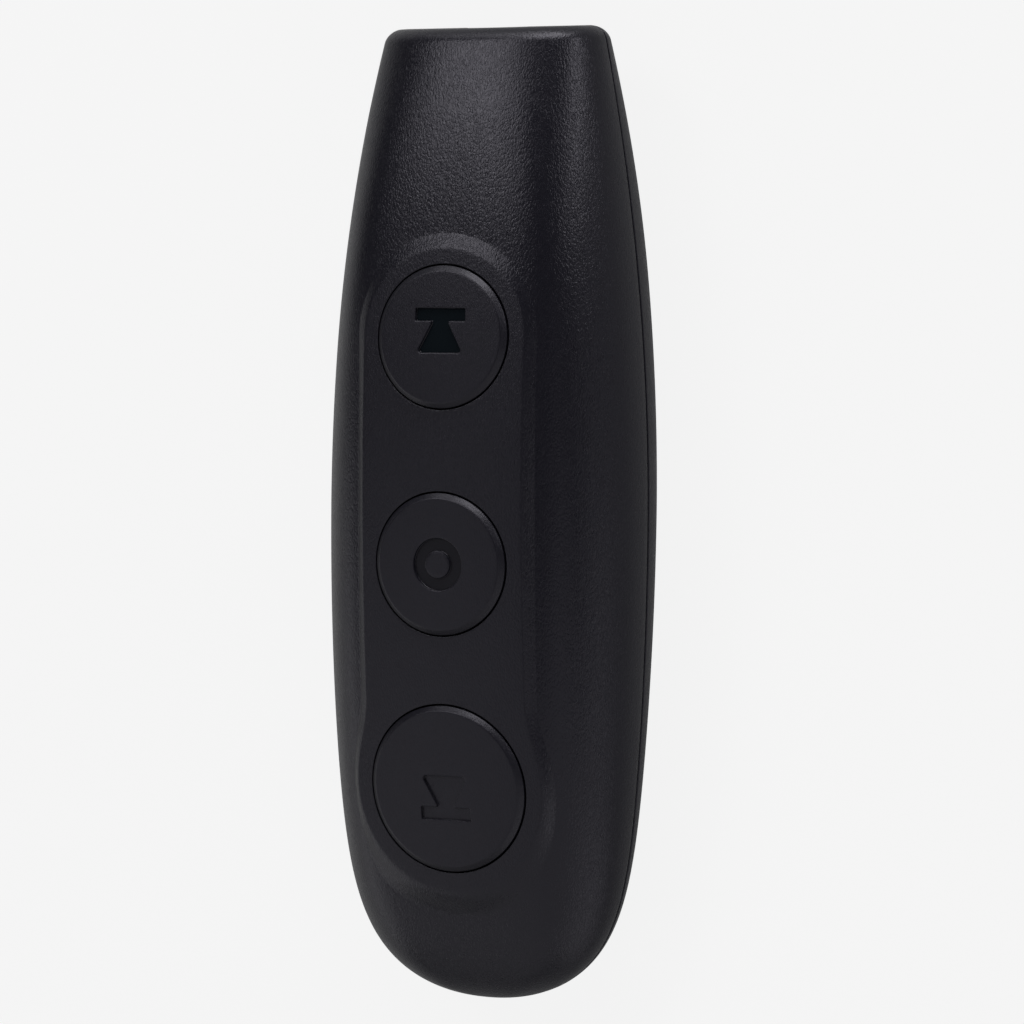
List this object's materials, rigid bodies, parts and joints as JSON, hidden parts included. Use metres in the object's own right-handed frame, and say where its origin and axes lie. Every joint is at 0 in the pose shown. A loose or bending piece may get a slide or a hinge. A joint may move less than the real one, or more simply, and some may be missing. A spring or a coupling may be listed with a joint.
{
  "type": "page turner remote",
  "caption": "Handheld page turner remote: keyhole panel with round previous, pointer and next buttons, laser window, power slider, battery hatch and stowed receiver.",
  "frame": {"origin": "centre of the bounding box at the flat of the belly, on which the remote lies", "axes": "+Y along the body towards the flat end with the laser window, +Z out of the button face, +X to the right seen from the button face"},
  "size_m": [0.0364, 0.105, 0.0241],
  "materials": {
    "shell": "fine leather-grain moulding",
    "button": "satin moulding",
    "ring": "satin moulding",
    "lens": "dark red window",
    "barrel": "turned",
    "metal": "tin plate",
    "screw": "zinc plate",
    "wire": "insulation",
    "plunger": "moulded",
    "board": "solder mask",
    "chip": "moulded",
    "component": "fired",
    "antenna": "fired",
    "slider": "moulded",
    "cell": "printed film over a can",
    "tongue": "moulded"
  },
  "bodies": {
    "housing": {"front_shell": "shell", "rear_shell": "shell", "end_window_ring": "ring", "end_lens": "lens", "laser_barrel": "barrel", "laser_diode": "metal", "laser_wires": "wire", "previous_switch": "metal", "pointer_switch": "metal", "next_switch": "metal", "circuit_board": "board", "controller_chip": "chip", "radio_chip": "chip", "crystal": "metal", "small_components": "component", "chip_antenna": "antenna", "power_switch": "metal", "battery_cell": "cell", "positive_contact": "metal", "negative_contact": "metal", "battery_spring": "metal", "board_screws": "screw", "shell_screws": "screw", "receiver_cap": "slider", "receiver_plug": "metal", "receiver_tongue": "tongue"},
    "previous_press": {"previous_button": "button", "previous_plunger": "plunger"},
    "pointer_press": {"pointer_button": "button", "pointer_plunger": "plunger"},
    "next_press": {"next_button": "button", "next_plunger": "plunger"},
    "slider": {"power_slider": "slider"},
    "hatch": {"battery_cover": "shell"}
  },
  "joints": [
    {"name": "previous_travel", "type": "slide", "parent": "housing", "child": "previous_press", "axis": [0, 0, -1], "range_m": [0, 0.0004], "stiffness_N_per_m": 200},
    {"name": "pointer_travel", "type": "slide", "parent": "housing", "child": "pointer_press", "axis": [0, 0, -1], "range_m": [0, 0.0004], "stiffness_N_per_m": 200},
    {"name": "next_travel", "type": "slide", "parent": "housing", "child": "next_press", "axis": [0, 0, -1], "range_m": [0, 0.0004], "stiffness_N_per_m": 200},
    {"name": "power_slide", "type": "slide", "parent": "housing", "child": "slider", "axis": [0, 1, 0], "range_m": [0, 0.002]},
    {"name": "hatch_swing", "type": "hinge", "parent": "housing", "child": "hatch", "pos_m": [0, 0.0374, 0], "axis": [1, 0, 0], "range_deg": [0, 40]}
  ]
}
